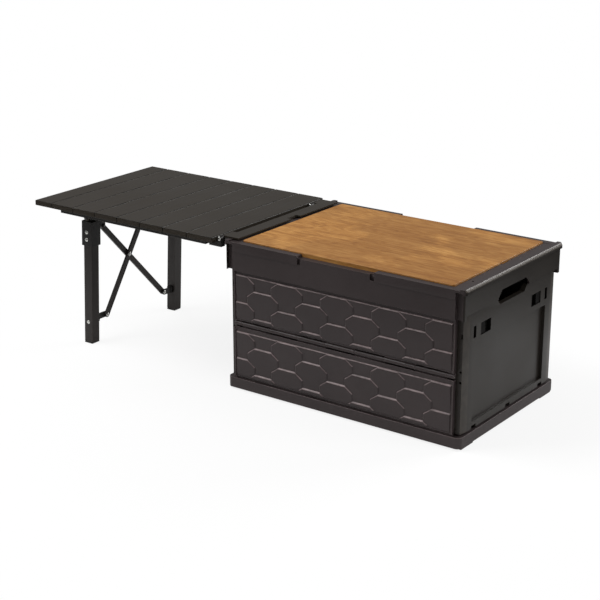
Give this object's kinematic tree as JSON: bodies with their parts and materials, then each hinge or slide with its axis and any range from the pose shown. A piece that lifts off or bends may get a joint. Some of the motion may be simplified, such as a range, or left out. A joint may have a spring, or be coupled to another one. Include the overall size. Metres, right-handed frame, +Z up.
{
  "type": "camping box with table lid",
  "caption": "Collapsible plastic storage crate with a lift-off wooden lid and a folding slatted side table hooked on one end, standing on fold-down braced legs.",
  "frame": {"origin": "centre of the flat sole under the crate, on the ground", "axes": "+X along the crate away from the side table, +Y to the back, +Z up"},
  "size_m": [1.0146, 0.3757, 0.304],
  "materials": {
    "dark_plastic": "fine matt grain, near-black brown",
    "grey_plastic": "fine matt grain, near-black grey-green",
    "black_plastic": "satin black",
    "oiled_wood": "satin veneer, grain along X",
    "dark_aluminium": "dark grey anodised, satin",
    "bright_steel": "bright zinc"
  },
  "bodies": {
    "crate": {"base_tray": "dark_plastic", "front_wall_lower": "dark_plastic", "front_wall_upper": "dark_plastic", "back_wall_lower": "dark_plastic", "back_wall_upper": "dark_plastic", "front_mid_hinge_rod": "bright_steel", "back_mid_hinge_rod": "bright_steel", "rim_frame": "dark_plastic", "end_wall_right_pin_front": "bright_steel", "end_wall_right_pin_back": "bright_steel", "end_wall_left_pin_front": "bright_steel", "end_wall_left_pin_back": "bright_steel"},
    "lid": {"lid_panel": "oiled_wood"},
    "end_wall_right": {"end_wall_right": "grey_plastic"},
    "end_wall_left": {"end_wall_left": "grey_plastic"},
    "latch_right_front": {"latch_right_front": "black_plastic"},
    "latch_right_back": {"latch_right_back": "black_plastic"},
    "latch_left_front": {"latch_left_front": "black_plastic"},
    "latch_left_back": {"latch_left_back": "black_plastic"},
    "hooks": {"hook_plate": "dark_aluminium", "hook_pin_front": "bright_steel", "hook_pin_back": "bright_steel"},
    "table": {"slat_1": "dark_aluminium", "slat_2": "dark_aluminium", "slat_3": "dark_aluminium", "slat_4": "dark_aluminium", "slat_5": "dark_aluminium", "slat_6": "dark_aluminium", "slat_7": "dark_aluminium", "slat_8": "dark_aluminium", "table_rail_front": "dark_aluminium", "table_rail_back": "dark_aluminium", "table_hinge_rail": "dark_aluminium", "leg_mount_bar": "dark_aluminium", "leg_hinge_pin_front": "bright_steel", "leg_hinge_pin_back": "bright_steel"},
    "legs": {"leg_tube_front": "dark_aluminium", "leg_hub_front": "black_plastic", "foot_cap_front": "black_plastic", "leg_bracket_front": "black_plastic", "hub_rivet_front_1": "bright_steel", "hub_rivet_front_2": "bright_steel", "bracket_rivet_front": "bright_steel", "leg_tube_back": "dark_aluminium", "leg_hub_back": "black_plastic", "foot_cap_back": "black_plastic", "leg_bracket_back": "black_plastic", "hub_rivet_back_1": "bright_steel", "hub_rivet_back_2": "bright_steel", "bracket_rivet_back": "bright_steel", "cross_tube": "dark_aluminium", "strut_1": "dark_aluminium", "strut_2": "dark_aluminium", "crossing_rivet": "bright_steel", "strut_rivet_low_front": "bright_steel", "strut_rivet_low_back": "bright_steel", "strut_rivet_top_front": "bright_steel", "strut_rivet_top_back": "bright_steel"}
  },
  "joints": [
    {"name": "lid_lift", "type": "slide", "parent": "crate", "child": "lid", "axis": [0, 0, 1], "range_m": [0, 0.06]},
    {"name": "table_lift", "type": "slide", "parent": "crate", "child": "hooks", "axis": [0, 0, 1], "range_m": [0, 0.03]},
    {"name": "table_tilt", "type": "hinge", "parent": "hooks", "child": "table", "pos_m": [-0.275, 0, 0.299], "axis": [0, 1, 0], "range_deg": [0, 90]},
    {"name": "leg_fold", "type": "hinge", "parent": "table", "child": "legs", "pos_m": [-0.6389, 0, 0.276], "axis": [0, -1, 0], "range_deg": [0, 92]},
    {"name": "end_wall_right_swing", "type": "hinge", "parent": "crate", "child": "end_wall_right", "pos_m": [0.252, 0, 0.256], "axis": [0, 1, 0], "range_deg": [0, 90]},
    {"name": "end_wall_left_swing", "type": "hinge", "parent": "crate", "child": "end_wall_left", "pos_m": [-0.252, 0, 0.256], "axis": [0, -1, 0], "range_deg": [0, 90]},
    {"name": "latch_right_front_slide", "type": "slide", "parent": "end_wall_right", "child": "latch_right_front", "axis": [0, 1, 0], "range_m": [0, 0.012]},
    {"name": "latch_right_back_slide", "type": "slide", "parent": "end_wall_right", "child": "latch_right_back", "axis": [0, -1, 0], "range_m": [0, 0.012]},
    {"name": "latch_left_front_slide", "type": "slide", "parent": "end_wall_left", "child": "latch_left_front", "axis": [0, 1, 0], "range_m": [0, 0.012]},
    {"name": "latch_left_back_slide", "type": "slide", "parent": "end_wall_left", "child": "latch_left_back", "axis": [0, -1, 0], "range_m": [0, 0.012]}
  ]
}
